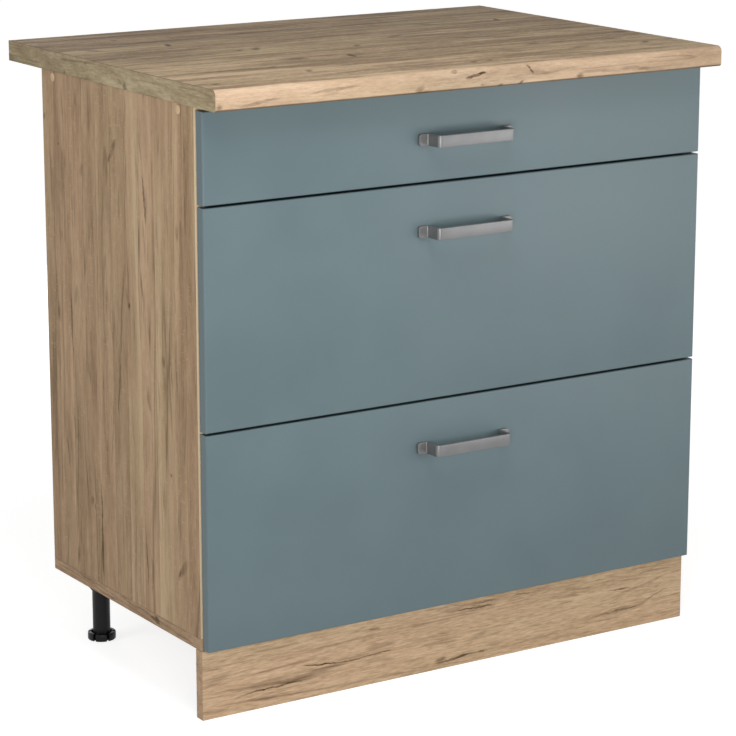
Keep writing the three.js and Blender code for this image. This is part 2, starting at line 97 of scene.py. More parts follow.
class Shader:
    """One material's node tree. Its methods take sockets or plain values and return sockets."""

    def __init__(self, name, **constants):
        self.material = bpy.data.materials.new(name)
        self.material.use_nodes = True
        self.tree = self.material.node_tree
        self.surface = self.tree.nodes["Principled BSDF"]
        self.place = self.node("ShaderNodeTexCoord").outputs["Object"]
        for socket, value in constants.items():
            self.surface.inputs[socket.replace("_", " ")].default_value = value

    def node(self, kind, inputs=None, **settings):
        made = self.tree.nodes.new(kind)
        for key, value in settings.items():
            setattr(made, key, value)
        for key, value in (inputs or {}).items():
            if isinstance(value, bpy.types.NodeSocket):
                self.tree.links.new(value, made.inputs[key])
            else:
                made.inputs[key].default_value = value
        return made

    def math(self, operation, *values):
        return self.node("ShaderNodeMath", dict(enumerate(values)), operation=operation).outputs[0]

    def vector(self, operation, *values):
        made = self.node("ShaderNodeVectorMath", dict(enumerate(values)), operation=operation)
        return made.outputs["Value" if operation == "LENGTH" else "Vector"]

    def axis(self, vector, axis):
        return self.node("ShaderNodeSeparateXYZ", {"Vector": vector}).outputs[axis]

    def scaled(self, vector, scale):
        return self.node("ShaderNodeMapping", {"Vector": vector, "Scale": scale}).outputs[0]

    def noise(self, vector, scale=1.0, detail=2.0, roughness=0.5, output="Fac"):
        inputs = {"Vector": vector, "Scale": scale, "Detail": detail, "Roughness": roughness}
        return self.node("ShaderNodeTexNoise", inputs).outputs[output]

    def cells(self, vector, scale):
        return self.node("ShaderNodeTexVoronoi", {"Vector": vector, "Scale": scale}).outputs["Color"]

    def remap(self, value, low, high, to_low=0.0, to_high=1.0):
        """A smooth step of value from to_low at low to to_high at high."""
        inputs = {"Value": value, "From Min": low, "From Max": high, "To Min": to_low, "To Max": to_high}
        return self.node("ShaderNodeMapRange", inputs, interpolation_type="SMOOTHSTEP").outputs[0]

    def mix(self, factor, a, b, blend="MIX"):
        made = self.node("ShaderNodeMix", data_type="RGBA", blend_type=blend)
        for socket, value in ((made.inputs[0], factor), (made.inputs[6], a), (made.inputs[7], b)):
            if isinstance(value, bpy.types.NodeSocket):
                self.tree.links.new(value, socket)
            else:
                socket.default_value = value
        return made.outputs[2]

    def ramp(self, value, stops):
        """A colour that runs through stops, each (position, colour)."""
        made = self.node("ShaderNodeValToRGB", {"Fac": value})
        elements = made.color_ramp.elements
        while len(elements) < len(stops):
            elements.new(1.0)
        for element, (position, colour) in zip(elements, stops):
            element.position = position
            element.color = colour
        return made.outputs["Color"]

    def bump(self, height, distance):
        inputs = {"Height": height, "Distance": distance, "Strength": 1.0}
        self.connect(Normal=self.node("ShaderNodeBump", inputs).outputs["Normal"])

    def connect(self, **sockets):
        for name, socket in sockets.items():
            self.tree.links.new(socket, self.surface.inputs[name.replace("_", " ")])


SEAM_BLUR = 0.1 * MM


def beyond(shader, axis, plane, upward):
    """1 past a plane square to an axis, and 0 short of it, with hardly any blur."""
    end = plane + SEAM_BLUR if upward else plane - SEAM_BLUR
    return shader.remap(shader.axis(shader.place, axis), plane, end)


# ---------------------------------------------------------------- oak

CRACK = srgb(72, 54, 35)
COOL_TINT = srgb(251, 255, 252)
THIN_MARK = 7  # millimetres: a mark under this width is a crack, and a wider one a knot or smudge
CRACK_CORE, KNOT_CORE = 0.6, 0.2  # the share of a mark's size that is fully dark
MARK_DEPTH = 12 * MM
MARK_TREMORS = ((22, 9 * MM), (160, 3 * MM))  # how fine, and how far they shake a mark's outline
GRAIN_WANDER = 30 * MM
STAVE_SHIFT = (0.4, 0.4, 0.4)  # between the stretches of figure that neighbouring staves show
SEAM_WIDTHS = (1.1 * MM, 0.2 * MM)  # of its soft edge and its core, from the middle
OAK_ROUGHNESS = (0.5, 0.62)
OAK_RELIEF = 0.05 * MM
CHIPS = 560.0  # a metre
CHIP_TONES = ((0.0, srgb(142, 113, 80)), (0.5, srgb(184, 152, 113)), (1.0, srgb(212, 184, 144)))

# How fine the fields of the oak's figure are, in units a metre: along the grain and across it.
WANDER = (1.4, 8.0)
SEAM_PATCHES = (3.2, 30.0)
CLOUDS = (8.0, 48.0)
FLECKS = (46.0, 310.0)
FIBRES = (110.0, 850.0)
SWIRLS = (1.6, 11.0)
GROWTH_PATCHES = (2.5, 24.0)
HUES = (1.1, 15.0)
LONG_CHECKS = (1.9, 34.0)
SHORT_CHECKS = (5.0, 90.0)
SAW_TICKS = (310.0, 85.0)
TICK_PATCHES = (9.0, 20.0)
MARK_GRIT = (60.0, 330.0)
STREAKS = (4.0, 48.0)

# How much each field counts in the tone, and how much of the crack's tone the fine lines show.
BAND_SHARE = 0.6
STAVE_SHARE = 0.12
FLECK_SHARE = 0.42
FIBRE_SHARE = 0.45
GROWTH_SHARE = 0.3
TONE_SPREAD = 0.27  # from the middle tone to the dark and the light one, at a contrast of 1
SWIRL_RINGS = 13.0  # how many growth lines the swirls shift by
LONG_CHECK_SHARE = 0.42
SHORT_CHECK_SHARE = 0.3
SEAM_SHARE = 0.3


class Oak(Shader):
    """A printed oak decor, with or without glued staves, whose grain runs along one axis."""

    def __init__(self, name, grain, across, seed, stave=None, first_seam=0.0):
        super().__init__(name, Specular_IOR_Level=0.06)
        self.grain, self.across = grain, across
        self.whole = self.vector("ADD", self.place, (seed, seed * 1.7, seed * 0.6))
        self.solid, self.stave_tone, self.seam = self.whole, 0.5, 0.0
        if stave:
            self.cut_into_staves(stave, first_seam)
        wander = self.noise(self.along(*WANDER, self.solid), detail=1.0, output="Color")
        centred = self.vector("SUBTRACT", wander, (0.5, 0.5, 0.5))
        reach = [0.0 if axis == grain else GRAIN_WANDER for axis in (X, Y, Z)]
        self.bent = self.vector("ADD", self.solid, self.vector("MULTIPLY", centred, reach))
        self.fibre = self.noise(self.along(*FIBRES), detail=2.0, roughness=0.7)

    def cut_into_staves(self, stave, first_seam):
        """Gives each stave its own tone and its own stretch of figure, with a fine seam between."""
        from_first = self.math("SUBTRACT", self.axis(self.place, self.across), first_seam)
        place = self.math("DIVIDE", from_first, stave)
        number = self.math("FLOOR", place)
        draw = self.node("ShaderNodeTexWhiteNoise", {"W": number}, noise_dimensions="1D")
        self.stave_tone = draw.outputs["Value"]
        shift = self.vector("MULTIPLY", draw.outputs["Color"], STAVE_SHIFT)
        self.solid = self.vector("ADD", self.solid, shift)
        to_seam = self.math("PINGPONG", self.math("FRACT", place), 0.5)
        line = self.remap(to_seam, *(width / stave for width in SEAM_WIDTHS))
        shown = self.remap(self.noise(self.along(*SEAM_PATCHES, self.solid), detail=1.0), 0.46, 0.6)
        self.seam = self.math("MULTIPLY", line, shown)

    def turned(self, grain, across):
        """The same decor without staves and with its grain turned, for a face printed in one piece."""
        other = copy.copy(self)
        other.grain, other.across = grain, across
        other.solid = other.bent = self.whole
        other.stave_tone, other.seam = 0.5, 0.0
        other.fibre = other.noise(other.along(*FIBRES), detail=2.0, roughness=0.7)
        return other

    def along(self, long, cross, vector=None):
        """Coordinates with `long` units a metre along the grain and `cross` across it."""
        scale = [long if axis == self.grain else cross for axis in (X, Y, Z)]
        return self.scaled(self.bent if vector is None else vector, scale)

    def weighed(self, *terms):
        """The sum of shares of fields that centre on one half, itself centred on one half."""
        total = 0.5 - sum(share for _, share in terms) / 2
        for field, share in terms:
            total = self.math("MULTIPLY_ADD", field, share, total)
        return total

    def checks(self, long, cross, half_width, low, high):
        """Sparse thin lines that wander along the grain, shown only where patches pass low to high."""
        field = self.noise(self.along(long, cross), detail=1.0)
        line = self.remap(self.math("ABSOLUTE", self.math("SUBTRACT", field, 0.5)), half_width, 0.0)
        patches = self.noise(self.along(2.2 * long, 0.7 * cross, self.solid), detail=1.0)
        return self.math("MULTIPLY", line, self.remap(patches, low, high))

    def figure(self, tones, contrast=1.0, growth=0.3, pitch=5 * MM, bands=(1.4, 14.0), clouds=0.5,
               strands=(7.0, 230.0), stranding=0.1, grit=1.0, ticks=0.3):
        """The plain figure: bands, clouds, strands, flecks, growth lines, checks and saw ticks.

        Each pair of numbers is how fine a field is, as `along` takes it: along and across the grain."""
        broad = self.noise(self.along(*bands), detail=1.5)
        cloud = self.noise(self.along(*CLOUDS), detail=3.0, roughness=0.6)
        strand = self.noise(self.along(*strands), detail=2.0, roughness=0.6)
        flecks = self.noise(self.along(*FLECKS), detail=2.0, roughness=0.65)
        tone = self.weighed(
            (broad, BAND_SHARE), (self.stave_tone, STAVE_SHARE), (cloud, clouds), (strand, stranding),
            (flecks, FLECK_SHARE * grit), (self.fibre, FIBRE_SHARE * grit),
        )
        phase = self.math("DIVIDE", self.axis(self.bent, self.across), pitch)
        swirl = self.noise(self.along(*SWIRLS), detail=1.5)
        ring = self.math("FRACT", self.math("MULTIPLY_ADD", swirl, SWIRL_RINGS, phase))
        faded = self.remap(self.noise(self.along(*GROWTH_PATCHES), detail=1.0), 0.42, 0.62, 0.0, growth)
        line = self.math("MULTIPLY", self.math("POWER", ring, 3.0), faded)
        tone = self.math("MULTIPLY_ADD", line, -GROWTH_SHARE, tone)
        spread = TONE_SPREAD / contrast
        dark, middle, light = tones
        colour = self.ramp(tone, [(0.5 - spread, dark), (0.5, middle), (0.5 + spread, light)])
        hue = self.remap(self.noise(self.along(*HUES), detail=1.0), 0.35, 0.65)
        colour = self.mix(hue, colour, self.mix(1.0, colour, COOL_TINT, "MULTIPLY"))
        long_checks = self.checks(*LONG_CHECKS, half_width=0.035, low=0.52, high=0.6)
        short_checks = self.checks(*SHORT_CHECKS, half_width=0.07, low=0.53, high=0.6)
        lines = self.math("MULTIPLY", short_checks, SHORT_CHECK_SHARE)
        lines = self.math("MULTIPLY_ADD", long_checks, LONG_CHECK_SHARE, lines)
        colour = self.mix(self.math("MULTIPLY_ADD", self.seam, SEAM_SHARE, lines), colour, CRACK)
        sawn = self.remap(self.noise(self.along(*SAW_TICKS), detail=1.5), 0.6, 0.72)
        patches = self.remap(self.noise(self.along(*TICK_PATCHES), detail=1.0), 0.47, 0.6, 0.0, ticks)
        return self.mix(self.math("MULTIPLY", sawn, patches), colour, light)

    def marked(self, colour, marks, centre, strength=1.0):
        """Adds knots, smudges and cracks, each (along, across, length, width, slope, darkness).

        The first four are millimetres, with places taken from `centre`, a point in the plane of the
        face. The slope is in degrees and the darkness is a share."""
        shaken = self.place
        for pitch, reach in MARK_TREMORS:
            tremble = self.noise(self.scaled(self.solid, (pitch,) * 3), detail=1.0, output="Color")
            shift = self.vector("SUBTRACT", tremble, (0.5,) * 3)
            shaken = self.vector("ADD", shaken, self.vector("MULTIPLY", shift, (reach,) * 3))
        scar = 0.0
        for along, across, length, width, slope, darkness in marks:
            spot = self.ellipse(shaken, centre, along, across, length, width, slope)
            scar = self.math("MAXIMUM", scar, self.math("MULTIPLY", spot, darkness * strength))
        grit = self.noise(self.along(*MARK_GRIT), detail=2.0, roughness=0.6)
        broken = self.math("MULTIPLY", scar, self.remap(grit, 0.32, 0.62, 1.2, 0.7))
        return self.mix(broken, colour, CRACK)

    def ellipse(self, vector, centre, along, across, length, width, slope):
        """A soft spot, 1 in its middle, that is a long ellipse on the face and no deeper than a mark."""
        location, scale, turn = list(centre), [MARK_DEPTH] * 3, [0.0] * 3
        location[self.grain] += along * MM
        location[self.across] += across * MM
        scale[self.grain], scale[self.across] = length * MM / 2, width * MM / 2
        normal = 3 - self.grain - self.across
        handed = 1 if (self.grain + 1) % 3 == self.across else -1
        turn[normal] = handed * math.radians(slope)
        inputs = {"Vector": vector, "Location": location, "Rotation": turn, "Scale": scale}
        local = self.node("ShaderNodeMapping", inputs, vector_type="TEXTURE").outputs[0]
        core = CRACK_CORE if width < THIN_MARK else KNOT_CORE
        return self.remap(self.vector("LENGTH", local), 1.0, core)

    def cored(self, colour, axis, plane, upward):
        """Shows bare chipboard past a plane, where a board's edge has no band."""
        draw = self.axis(self.cells(self.place, CHIPS), X)
        return self.mix(beyond(self, axis, plane, upward), colour, self.ramp(draw, CHIP_TONES))

    def shaded(self, colour, axis, start, end, share):
        """Darkens from nothing at `start` to `share` of the crack's tone at `end`, along an axis."""
        return self.mix(self.remap(self.axis(self.place, axis), start, end, 0.0, share), colour, CRACK)

    def done(self, colour):
        """The finished material, whose pale fibres are the smoother ones."""
        smooth, rough = OAK_ROUGHNESS
        self.connect(Base_Color=colour, Roughness=self.remap(self.fibre, 0.3, 0.7, rough, smooth))
        self.bump(self.fibre, OAK_RELIEF)
        return self.material


def random_marks(seed, count, middle, reach):
    """Small knots and cracks strewn to both sides of a face's middle, for a face without a table."""
    draw = random.Random(seed)
    marks = []
    for _ in range(count):
        long = draw.random() < 0.6
        length = draw.uniform(50, 150) if long else draw.uniform(10, 26)
        width = draw.uniform(4, 6) if long else draw.uniform(6, 12)
        along = draw.uniform(-reach[0], reach[0]) + middle[0]
        across = draw.uniform(-reach[1], reach[1]) + middle[1]
        marks.append((along, across, length, width, draw.uniform(-8, 8), draw.uniform(0.3, 0.7)))
    return marks


# Tones of one oak decor as (dark, middle, light). Some faces get copies that paint the light falling on
# them: the top's copy is darker as painted shade, and the plinth's and the nose's copies are lighter as
# painted light
OAK_TONES = (srgb(144, 117, 92), srgb(177, 149, 120), srgb(203, 174, 143))
SIDE_TONES = (srgb(148, 120, 94), srgb(181, 152, 122), srgb(206, 177, 145))
TOP_SHADED_TONES = (srgb(137, 113, 86), srgb(172, 146, 115), srgb(199, 173, 139))
PLINTH_LIT_TONES = (srgb(162, 132, 103), srgb(203, 171, 139), srgb(230, 200, 167))
NOSE_LIT_TONES = (srgb(172, 145, 119), srgb(206, 177, 148), srgb(234, 208, 179))
END_TONES = (srgb(142, 122, 96), srgb(172, 153, 124), srgb(200, 182, 152))
BAND = srgb(206, 187, 156)
STAVE = 40.5 * MM
NOSE_DEPTH = 6 * MM
STREAKS_START = -150 * MM  # dark grain streaks, partly painted shade that darkens the rear, grow on the worktop from here to its rear edge
REAR_STREAKS_AND_SHADE = 0.55

# Marks on the left side, as (height, depth, length, width, slope, darkness).
SIDE_MARKS = (
    (731, -13, 54, 15, -40, 0.4), (738, -19, 24, 9, -30, 0.55), (720, -4, 26, 11, -35, 0.5),
    (678, -99, 80, 6, 6, 0.65), (745, -91, 60, 8, 8, 0.35), (700, -97, 120, 12, 5, 0.2),
    (700, -49, 80, 5, 0, 0.35), (528, -52, 12, 10, 0, 0.8), (470, -27, 220, 4.5, -6, 0.36),
    (400, -19, 70, 5.5, -6, 0.5), (548, -36, 80, 5, -3, 0.35), (470, 118, 120, 6, 2, 0.55),
    (512, 104, 44, 12, -18, 0.3), (479, 157, 42, 12, 0, 0.5), (430, 160, 140, 12, 2, 0.22),
    (190, 41, 170, 5, 0, 0.65), (195, -190, 56, 15, -40, 0.42), (189, -183, 28, 10, -40, 0.6),
    (229, 68, 16, 14, 0, 0.5), (221, 61, 12, 9, 30, 0.35), (184, -90, 90, 4.5, 2, 0.5),
    (409, -102, 44, 14, 10, 0.4), (399, -104, 18, 9, 15, 0.45), (468, -146, 24, 12, 0, 0.45),
    (556, -88, 60, 8, 6, 0.45), (401, 29, 24, 9, 0, 0.3), (295, 130, 120, 17, 12, 0.2),
    (330, 118, 66, 8, 12, 0.35), (285, 139, 66, 8, 12, 0.35), (137, 115, 46, 11, -8, 0.5),
    (484, -166, 130, 5, 0, 0.35), (460, -180, 120, 5, 0, 0.3), (645, -188, 32, 11, 0, 0.3),
    (318, -160, 8, 8, 0, 0.6), (717, 148, 8, 8, 0, 0.6), (690, 79, 28, 17, -30, 0.25),
    (748, 187, 16, 10, 0, 0.5), (690, 150, 250, 40, 0, 0.14), (760, -98, 110, 44, 0, 0.14),
    (250, 150, 46, 8, 10, 0.3), (600, 62, 60, 7, 3, 0.25), (350, 2, 90, 5, -5, 0.3),
)
# Marks on the worktop's upper face, as (length along the wall, depth, ...).
TOP_MARKS = (
    (-354, 124, 42, 18, -48, 0.5), (-239, 124, 40, 13, 70, 0.8), (193, 135, 54, 20, -50, 0.5),
    (315, 125, 40, 13, 65, 0.7), (-82, -103, 42, 14, 72, 0.85), (-164, -93, 60, 42, 0, 0.42),
    (-120, -84, 80, 16, 0, 0.25), (-232, -146, 26, 14, 10, 0.55), (-20, -18, 40, 16, 60, 0.42),
    (-157, 25, 40, 18, 50, 0.5), (-183, 23, 26, 16, 60, 0.45), (-210, -203, 34, 14, 55, 0.5),
    (321, -143, 70, 14, 0, 0.5), (196, -134, 34, 18, 20, 0.5), (340, -200, 40, 15, 55, 0.5),
    (230, -194, 60, 22, 20, 0.35), (133, -187, 60, 22, 0, 0.3), (-86, 185, 70, 16, -8, 0.35),
    (77, 38, 60, 20, 30, 0.4), (-373, -246, 26, 13, 30, 0.5), (18, -246, 26, 13, 50, 0.45),
    (46, -243, 26, 13, 50, 0.4), (-279, 210, 34, 13, 60, 0.35), (-290, -146, 200, 24, 0, 0.3),
    (270, -140, 240, 26, -3, 0.28), (-300, 15, 220, 20, 0, 0.3), (-110, 142, 180, 16, -10, 0.3),
    (180, -30, 160, 16, -12, 0.32), (380, -90, 30, 40, 0, 0.45), (-330, -30, 150, 12, -6, 0.3),
)
# Marks on the rounded front of the worktop, as (length along the wall, height, ...).
NOSE_MARKS = (
    (-98, 821, 24, 14, 10, 0.5), (-94, 815, 44, 9, 5, 0.4), (-7, 834, 34, 5, 12, 0.85),
    (-20, 831, 18, 6, 12, 0.6), (76, 833, 22, 4, -52, 0.6), (29, 818, 14, 8, 20, 0.55),
    (61, 818, 16, 7, 20, 0.6), (-1, 820, 12, 8, 0, 0.4), (158, 819, 18, 12, 0, 0.45),
    (-46, 838, 14, 6, 10, 0.5), (-337, 822, 70, 5, 6, 0.3), (-230, 829, 90, 5, 4, 0.25),
    (250, 822, 60, 6, -4, 0.3), (120, 829, 80, 5, 5, 0.25), (-396, 820, 14, 12, 0, 0.4),
    # the last, a long soft band across the middle, is painted shade
    (0, 828, 340, 44, 0, 0.26),
)
# Marks on the left end of the worktop, as (depth, height, ...).
END_MARKS = (
    (205, 830, 10, 24, 0, 0.35), (160, 817, 9, 22, 0, 0.5), (120, 817, 9, 20, 0, 0.5),
    (-53, 819, 16, 18, 20, 0.55), (58, 838, 14, 7, 0, 0.4), (-40, 824, 22, 8, 20, 0.3),
    (200, 828, 320, 70, 0, 0.2),
)
# Marks on the left end of the bottom panel, as (depth, height, ...).
BOTTOM_MARKS = (
    (-114, 106, 22, 9, 12, 0.7), (-108, 103, 34, 5, 6, 0.5), (-60, 108, 90, 4, 2, 0.3),
    (20, 101, 70, 4, -3, 0.35), (90, 107, 60, 5, 3, 0.3), (-190, 102, 50, 4, 2, 0.3),
)
# Marks on the front of the plinth, as (length along the wall, height, ...).
PLINTH_MARKS = (
    (-212, 43, 80, 2.9, -4, 0.85), (-150, 42, 126, 2.6, 1, 0.65), (-292, 26, 115, 2.9, 1, 0.75),
    (-330, 25, 46, 3.6, 8, 0.5), (-131, 77, 23, 4.3, -8, 0.5), (39, 79, 80, 2.9, -1, 0.8),
    (50, 85, 69, 2.9, 0, 0.5), (115, 85, 34, 2.9, 0, 0.6), (286, 61, 51, 2.6, -1, 0.7),
    (295, 31, 57, 4.3, 4, 0.6), (255, 27, 46, 4.3, 4, 0.4), (0, 11, 80, 4.3, 3, 0.75),
    (-24, 14, 26, 10, 10, 0.7), (45, 13, 16, 3.6, 0, 0.5), (-40, 50, 120, 8, -2, 0.18),
    (40, 36, 60, 12, 14, 0.25), (330, 62, 92, 4.3, 10, 0.3), (345, 40, 80, 3.6, 16, 0.35),
    (180, 16, 138, 4.3, 2, 0.25), (-345, 58, 80, 3.6, 3, 0.2), (20, 85, 103, 3.6, -10, 0.25),
)
# The right side has no table: the height and depth of its middle, and how far marks lie from it.
SIDE_MIDDLE = (455, -21)
SIDE_REACH = (330, 190)
EDGE_SKIN = 0.3 * MM  # how deep the finish of a board's long edge goes
END_SKIN = 0.2 * MM  # and that of the worktop's ends
RIGHT_MARKS = random_marks(seed=5, count=18, middle=SIDE_MIDDLE, reach=SIDE_REACH)


def side_oak(side):
    """Upright grain, a pale band on the front edge, bare chipboard behind."""
    low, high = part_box(f"{side}_side_panel")
    seed, face, marks = (2.3, low.x, SIDE_MARKS) if side == "left" else (7.9, high.x, RIGHT_MARKS)
    oak = Oak(f"oak_{side}_side", Z, Y, seed, STAVE, first_seam=118 * MM)
    colour = oak.figure(
        SIDE_TONES, contrast=1.05, growth=0.15, pitch=7 * MM, clouds=0.5,
        strands=(1.1, 42.0), stranding=0.6, grit=0.65,
    )
    colour = oak.marked(colour, marks, (face, 0, 0), strength=1.1)
    # painted shade: the side a little darker towards its front edge
    colour = oak.shaded(colour, Y, high.y, low.y, share=0.06)
    banded = oak.mix(beyond(oak, Y, low.y + EDGE_SKIN, False), colour, BAND)
    return oak.done(oak.cored(banded, Y, high.y - EDGE_SKIN, True))


def worktop_oak():
    """Grain along the wall, printed ends and bare chipboard behind."""
    low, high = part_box("worktop")
    oak = Oak("oak_worktop", X, Y, seed=4.1, stave=STAVE, first_seam=16 * MM)
    top = oak.figure(
        TOP_SHADED_TONES, contrast=1.9, growth=0.4, pitch=16 * MM, bands=(2.4, 13.0),
        strands=(4.5, 95.0), stranding=0.5,
    )
    top = oak.marked(top, TOP_MARKS, (0, 0, high.z), strength=1.5)
    # dark grain streaks that grow towards the rear edge, partly as painted shade on the rear of the top
    streaks = oak.remap(oak.noise(oak.along(*STREAKS), detail=3.0, roughness=0.6), 0.5, 0.62)
    rearward = oak.remap(oak.axis(oak.place, Y), STREAKS_START, high.y, 0.0, REAR_STREAKS_AND_SHADE)
    top = oak.mix(oak.math("MULTIPLY", streaks, rearward), top, CRACK)
    # painted shade: the top darker towards its rear edge
    top = oak.shaded(top, Y, low.y, high.y, share=0.22)
    front = oak.turned(X, Z)
    nose = front.figure(
        NOSE_LIT_TONES, contrast=0.75, pitch=6 * MM, bands=(4.0, 30.0), clouds=0.6, ticks=0.0,
    )
    nose = front.marked(nose, NOSE_MARKS, (0, low.y, 0), strength=1.2)
    # painted shade along the lower rounding of the nose, under its edge
    nose = front.shaded(nose, Z, low.z + 3.4 * MM, low.z + 1.4 * MM, share=0.7)
    colour = oak.mix(beyond(oak, Y, low.y + NOSE_DEPTH, False), top, nose)
    cut_end = oak.turned(Y, Z)
    end = cut_end.figure(
        END_TONES, contrast=0.9, bands=(14.0, 60.0), clouds=0.3, strands=(70.0, 330.0), stranding=0.5,
    )
    end = cut_end.marked(end, END_MARKS, (low.x, 0, 0))
    end = cut_end.shaded(end, Z, high.z - 1.6 * MM, high.z - 0.4 * MM, share=0.4)
    for plane, upward in ((low.x + END_SKIN, False), (high.x - END_SKIN, True)):
        colour = oak.mix(beyond(oak, X, plane, upward), colour, end)
    return oak.done(oak.cored(colour, Y, high.y - EDGE_SKIN, True))


def plinth_oak():
    """Grain along the wall, and ends a little darker."""
    low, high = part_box("plinth_board")
    oak = Oak("oak_plinth", X, Z, seed=9.4)
    colour = oak.figure(
        PLINTH_LIT_TONES, contrast=0.58, growth=0.5, bands=(7.0, 90.0), clouds=0.0,
        strands=(55.0, 560.0), stranding=1.1, ticks=0.0,
    )
    colour = oak.marked(colour, PLINTH_MARKS, (0, low.y, 0))
    for plane, inward in ((low.x, MM), (high.x, -MM)):
        colour = oak.shaded(colour, X, plane + inward, plane, share=0.2)
    return oak.done(colour)


def bottom_oak():
    """Grain from front to back, seen on the panel's end under the side."""
    low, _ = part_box("bottom_panel")
    oak = Oak("oak_bottom", Y, Z, seed=5.2)
    colour = oak.figure(OAK_TONES, growth=0.8)
    return oak.done(oak.marked(colour, BOTTOM_MARKS, (low.x, 0, 0), strength=1.2))


def rail_oak(name):
    oak = Oak(f"oak_{name}", X, Y, seed=6.6, stave=STAVE)
    return oak.done(oak.figure(OAK_TONES, growth=0.4))


# ---------------------------------------------------------------- plain materials

WHITE = srgb(232, 231, 227)
FOIL_TONES = ((0.35, srgb(95, 113, 118)), (0.65, srgb(99, 117, 121)))
# Painted shade on the fronts' edges behind the face, so that the gaps between the fronts and the fronts'
# side edges look dark
FRONT_GAP_SHADE = srgb(62, 74, 78)
GAP_SHADE_SHARES = ((Z, 1.0), (X, 0.38))  # how much of that painted shade the long edges and the ends show
GAP_SHADE_INSET = 2 * MM  # how far behind the face the painted shade starts


def foil():
    """Smooth blue-grey foil with the faint dimples of pressed film, painted shade on its edges, white back.
    """
    shader = Shader("blue_grey_foil", Specular_IOR_Level=0.4)
    low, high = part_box("upper_drawer_front")
    cloud = shader.noise(shader.place, scale=9.0, detail=2.0)
    tone = shader.ramp(cloud, FOIL_TONES)
    dimple = shader.noise(shader.place, scale=900.0, detail=1.0)
    normal = shader.node("ShaderNodeTexCoord").outputs["Normal"]
    long_edges, ends = (
        shader.remap(shader.math("ABSOLUTE", shader.axis(normal, axis)), 0.9, 0.99, 0.0, share)
        for axis, share in GAP_SHADE_SHARES
    )
    shade_start = low.y + GAP_SHADE_INSET
    behind = shader.remap(shader.axis(shader.place, Y), shade_start, shade_start + MM)
    # painted shade on the edges, where the gaps between the fronts fall dark
    edge = shader.math("MULTIPLY", shader.math("ADD", long_edges, ends), behind)
    tone = shader.mix(edge, tone, FRONT_GAP_SHADE)
    tone = shader.mix(beyond(shader, Y, high.y - EDGE_SKIN, True), tone, WHITE)
    shader.connect(Base_Color=tone, Roughness=shader.remap(cloud, 0.3, 0.7, 0.39, 0.45))
    shader.bump(dimple, 0.01 * MM)
    return shader.material


def metal(name, tone, grain, roughness, metallic=1.0):
    """Drawn or brushed metal with fine lines along one axis."""
    shader = Shader(name, Metallic=metallic)
    scale = [30.0 if axis == grain else 2600.0 for axis in (X, Y, Z)]
    lines = shader.noise(shader.scaled(shader.place, scale), detail=2.0, roughness=0.6)
    cloud = shader.noise(shader.place, scale=45.0, detail=2.0)
    shade = shader.math("MULTIPLY_ADD", cloud, 0.4, shader.math("MULTIPLY", lines, 0.6))
    shader.connect(
        Base_Color=shader.ramp(shade, [(0.3, shade_of(tone, 0.86)), (0.7, shade_of(tone, 1.12))]),
        Roughness=shader.remap(lines, 0.3, 0.7, roughness - 0.05, roughness + 0.06),
    )
    shader.bump(lines, 0.012 * MM)
    return shader.material


def moulded(name, tone, roughness, specular):
    """Moulded plastic with a fine spark-eroded grain and a little unevenness."""
    shader = Shader(name, Specular_IOR_Level=specular)
    pits = shader.noise(shader.place, scale=1500.0, detail=2.0)
    cloud = shader.noise(shader.place, scale=60.0, detail=2.0)
    shader.connect(
        Base_Color=shader.ramp(cloud, [(0.3, tone), (0.75, shade_of(tone, 1.25))]),
        Roughness=shader.remap(cloud, 0.3, 0.7, roughness - 0.04, roughness + 0.05),
    )
    shader.bump(pits, 0.02 * MM)
    return shader.material


def faced_board(name, tone, roughness=0.5):
    """Plain melamine or lacquered hardboard, with a faint fibre print-through."""
    shader = Shader(name)
    weave = shader.noise(shader.scaled(shader.place, (260, 420, 420)), detail=3.0, roughness=0.6)
    cloud = shader.noise(shader.place, scale=12.0, detail=3.0)
    shade = shader.math("MULTIPLY_ADD", cloud, 0.5, shader.math("MULTIPLY", weave, 0.5))
    shader.connect(
        Base_Color=shader.ramp(shade, [(0.35, shade_of(tone, 0.93)), (0.6, tone)]),
        Roughness=shader.remap(weave, 0.3, 0.7, roughness, roughness + 0.08),
    )
    shader.bump(weave, 0.03 * MM)
    return shader.material


# ---------------------------------------------------------------- edges of the CAD nodes

FOLD_ANGLE = math.radians(32)  # a fold sharper than this is an edge
WELD_DISTANCE = 0.002 * MM
EDGE_SEGMENTS = 2
# How wide the softened edges of the nodes are, by what these are made of.
BOARD_EDGE = 0.4 * MM
WORKTOP_EDGE = 0.5 * MM
FRONT_EDGE = 0.3 * MM
HARDBOARD_EDGE = 0.2 * MM
PLASTIC_EDGE = 0.3 * MM
CAP_EDGE = 0.15 * MM
RAIL_EDGE = 0.15 * MM


